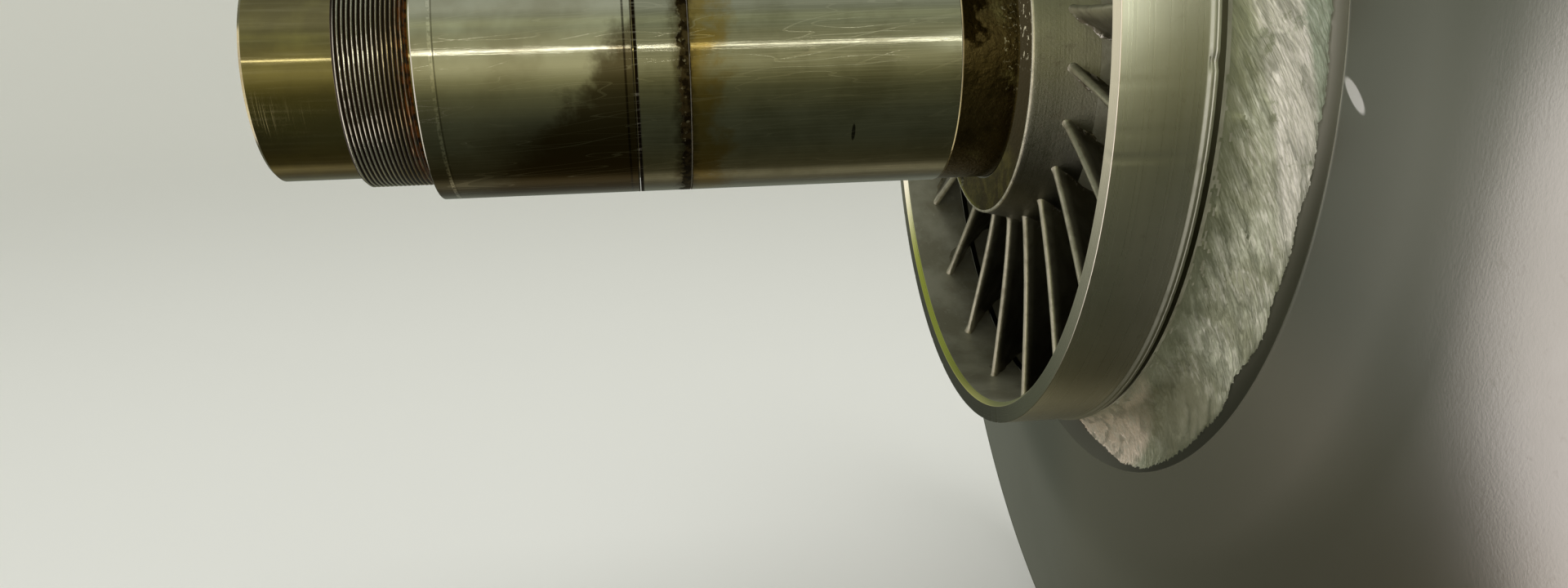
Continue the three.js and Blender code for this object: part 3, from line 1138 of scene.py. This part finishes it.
def makeEyeRing(channelSteel):
    r = ringSizes
    lip, top, end = r["lip"], r["lipRadius"], impeller["ringEnd"]
    bore = impeller["eyeRadius"]
    outline = softened([
        (r["face"] + r["chamfer"][0], bore),
        (r["face"], bore + r["chamfer"][1]),
        (r["face"], r["radius"]),
        (lip, r["radius"]),
        (lip + 1.4, top - 0.25),
        (lip + 2.1, top - 0.2),
        (lip + 2.5, top - 0.32),
        (lip + 2.9, top),
        (end, top),
        (end, bore),
    ], 0.35)
    chipAngle, chipWidth, chipDepth = r["chip"]

    def shift(x, radius, angle):  # nicks along the front edge and the lip
        onFront = x < r["face"] + 1.5 and radius > r["radius"] - 1.5
        onLip = x > lip + 0.5 and radius > r["radius"]
        if not (onFront or onLip):
            return 0, 0
        dent = max(wobble(angle * 55, 4 if onLip else 0, 2) - 0.3, 0)
        chip = chipDepth * (1 - smoothStep(0, chipWidth, abs(angle - chipAngle)))
        return (0.5 * dent if onFront else 0), -1.1 * dent - (chip if onLip else 0)

    def inBore(x, radius, normal):
        return radius < bore + 0.3 and x > r["face"] + r["chamfer"][0]

    ring = turnedRing("eye_ring_steel", outline, r["segments"], satinTurnedSteel(),
                      "ring_steel", "eye_ring", shift=shift)
    painted(ring, channelSteel, inBore)
    ring.visible_glossy = False  # its image would lie across the sleeve's end and the cover


# Blades

bladeSizes = {
    "count": 21,
    "first": math.radians(-12),  # the root of the leading edge
    "thickness": 5,
    "edgeShare": 0.72,  # how much of it there is at the leading edge
    "noseThickness": 3.6,
    "rubbed": 0.012,  # how far back the leading edge is rubbed, as a share of the length
    "setBack": 0.0095,  # how far the leading edge lies along the hub's wall, as a share of it
    "bow": 0.006,  # how much further its middle does
    "tipLead": math.radians(7),
    "exitAngle": math.radians(37),
    "twist": math.radians(15),
    "twistDepth": 54,
    "edgeTurn": math.radians(-2.2),  # how far the leading edge is turned past the solids' one
    "tipEdgeX": 374,
    "stations": 36,
    "buried": 0.8,  # how far root and tip reach into the discs
    "fillet": 4.5,  # radius of the weld fillets at root and tip
}


def alongCurve(points):  # a function giving the point at a fraction of a run's length
    lengths = [0]
    for a, b in zip(points, points[1:]):
        lengths.append(lengths[-1] + (Vector(b) - Vector(a)).length)

    def place(fraction):
        target = min(max(fraction, 0), 1) * lengths[-1]
        for i in range(1, len(points)):
            if lengths[i] >= target or i == len(points) - 1:
                share = (target - lengths[i - 1]) / (lengths[i] - lengths[i - 1])
                return Vector(points[i - 1]).lerp(Vector(points[i]), share)
    return place


def bladeSweep():  # the angle that a blade has turned through at an outline point
    b = bladeSizes
    rootX, rootRadius = impeller["rootEdge"]
    toTip = impeller["eyeRadius"] - rootRadius
    toRim = impeller["rimRadius"] - rootRadius
    rimLean = math.tan(b["exitAngle"]) / impeller["rimRadius"]
    growth = (rimLean * toTip - b["tipLead"]) / (2 * toRim * toTip - toTip ** 2)
    start = rimLean - 2 * growth * toRim

    def sweep(point):
        out = point.y - rootRadius
        depth = min(max((point.x - rootX) / b["twistDepth"], 0), 1)
        return start * out + growth * out ** 2 + b["twist"] * (1 - (1 - depth) ** 2)
    return sweep


# Alloy steel plate, milled and welded in: sides gone dark with residue, pale rubbed leading
# edges and bright lumpy weld at their ends
def milledBladeSteel():
    material, tree, shader = startMaterial("milled_blade_steel")
    at = turnedPlace(tree)
    nose = addNode(tree, "Attribute", output="Fac", attribute_name="nose")
    weld = addNode(tree, "Attribute", output="Fac", attribute_name="weld")
    cloud = patches(at, 22, 0.35, 0.7)
    colour = stained("#6b6857", "#57523f", cloud)
    rubbed = addNode(tree, "MapRange", {0: patches(at, 5, 0.3, 0.55), 3: 0.6, 4: 1.0})
    colour = stained(colour, "#a3a18a", nose, rubbed)
    colour = stained(colour, "#6f6a55", weld, 0.8)
    atRoot = within(at["radius"], None, 110, 20)
    colour = stained(colour, "#e8e5d6", weld, patches(at, 3.2, 0.56, 0.6, 5.0), atRoot)
    rough = addNode(tree, "MapRange", {0: cloud, 3: 0.34, 4: 0.48})
    lumps = patches(at, 2.6, 0.2, 0.8)
    relief = addNode(tree, "Math", {0: lumps, 1: weld}, operation="MULTIPLY")
    wired(shader, colour, rough, (lumps, 0.06), (relief, 0.5))
    shader.inputs["Metallic"].default_value = 0.8
    return material


def bladeMesh(first, root, tip, sweep):
    b = bladeSizes
    stations = b["stations"]
    spans = [0, 0.012, 0.03, 0.055, 0.1, 0.2, 0.35, 0.5, 0.65, 0.8, 0.9, 0.945, 0.97, 0.988, 1]
    limit = (impeller["rimRadius"] - 0.3) * mm
    verts, nose, weld = [], [], []

    def middle(u, v):  # the blade's middle surface, from root to tip on straight lines
        low, high = root(u), tip(u)
        angle = first + b["edgeTurn"] * (1 - smoothStep(0, 0.7, u))
        start = onCircle(low.x, low.y - b["buried"], angle + sweep(low))
        end = onCircle(high.x, high.y + b["buried"], angle + sweep(high))
        return start.lerp(end, v) / mm

    # A place on it, its normal and the way along it, half its thickness, how far the weld
    # stands out, and how rubbed it is
    def station(i, v):
        edge = b["setBack"] + b["bow"] * 4 * v * (1 - v)
        share = (i / stations) ** 1.5
        u = edge + (1 - edge) * share
        here = middle(u, v)
        along = (middle(min(u + 0.01, 1), v) - middle(max(u - 0.01, 0), v)).normalized()
        across = (middle(u, min(v + 0.02, 1)) - middle(u, max(v - 0.02, 0))).normalized()
        height = (middle(u, 1) - middle(u, 0)).length
        flare = max(b["fillet"] - min(v, 1 - v) * height, 0)
        bulge = b["fillet"] - math.sqrt(max(b["fillet"] ** 2 - flare ** 2, 0))
        bulge *= 0.7 + 0.9 * max(noise.noise(here * 0.21), -0.6)  # lumpy
        bulge *= 0.35 + 0.65 * smoothStep(0, 0.03, share)
        taper = b["edgeShare"] + (1 - b["edgeShare"]) * smoothStep(0, 0.1, share)
        half = b["thickness"] / 2 * taper + bulge
        rubbed = 1 - smoothStep(0, b["rubbed"], share)
        return here, along.cross(across).normalized(), along, half, bulge, rubbed

    def put(point, bulge, rubbed):  # nothing of a blade stands past the discs' rims
        point = point * mm
        share = min(1, limit / math.hypot(point.y, point.z))
        verts.append(Vector((point.x, point.y * share, point.z * share)))
        nose.append(rubbed)
        weld.append(min(bulge / 2, 1))

    for v in spans:
        places = [station(i, v) for i in range(stations + 1)]
        for here, normal, along, half, bulge, rubbed in reversed(places):
            put(here + normal * half, bulge, rubbed)
        here, normal, along, half, bulge, rubbed = places[0]
        for k in range(1, 6):
            angle = math.pi * k / 6
            forward = math.sin(angle) * (b["noseThickness"] / 2 + bulge)
            put(here + normal * half * math.cos(angle) - along * forward, bulge, rubbed)
        for here, normal, along, half, bulge, rubbed in places:
            put(here - normal * half, bulge, rubbed)
    width = len(verts) // len(spans)
    faces = rowFaces(len(spans), width, flipped=True)
    top = (len(spans) - 1) * width
    for k in range(stations + 2):  # strips that close the hidden root and tip
        left, right = k, width - 1 - k
        faces.append((left, left + 1, right - 1, right))
        faces.append((top + right, top + right - 1, top + left + 1, top + left))
    return verts, faces, {"nose": nose, "weld": weld}


def makeBlades():
    b = bladeSizes
    steel = milledBladeSteel()
    sweep = bladeSweep()
    root = alongCurve(hubWall(80))
    wall = alongCurve(coverWall(80))
    firstStep = 1 / 12  # the share of the blade that lies under the eye ring

    def tip(u):
        if u < firstStep:
            edge = Vector((b["tipEdgeX"], impeller["eyeRadius"]))
            return edge.lerp(wall(0), u / firstStep)
        return wall((u - firstStep) / (1 - firstStep))

    for i in range(b["count"]):
        node = f"blade_{i + 1:02d}"
        verts, faces, marks = bladeMesh(b["first"] + turn * i / b["count"], root, tip, sweep)
        finished(f"milled_{node}", verts, faces, steel, "blade_steel", node, marks=marks)


makeCamera()
makeWorld()
makeStage()
makeLamps()
bpy.context.scene.view_settings.view_transform = "Standard"
print("camera, stage and lights are in place")
makeShaft()
makeSleeves()
print("shaft and sleeves are made")
channelSteel = milledChannelSteel()
makeHub(channelSteel)
makeCover(channelSteel)
makeEyeRing(channelSteel)
print("discs and eye ring are made")
makeBlades()
print("blades are made")
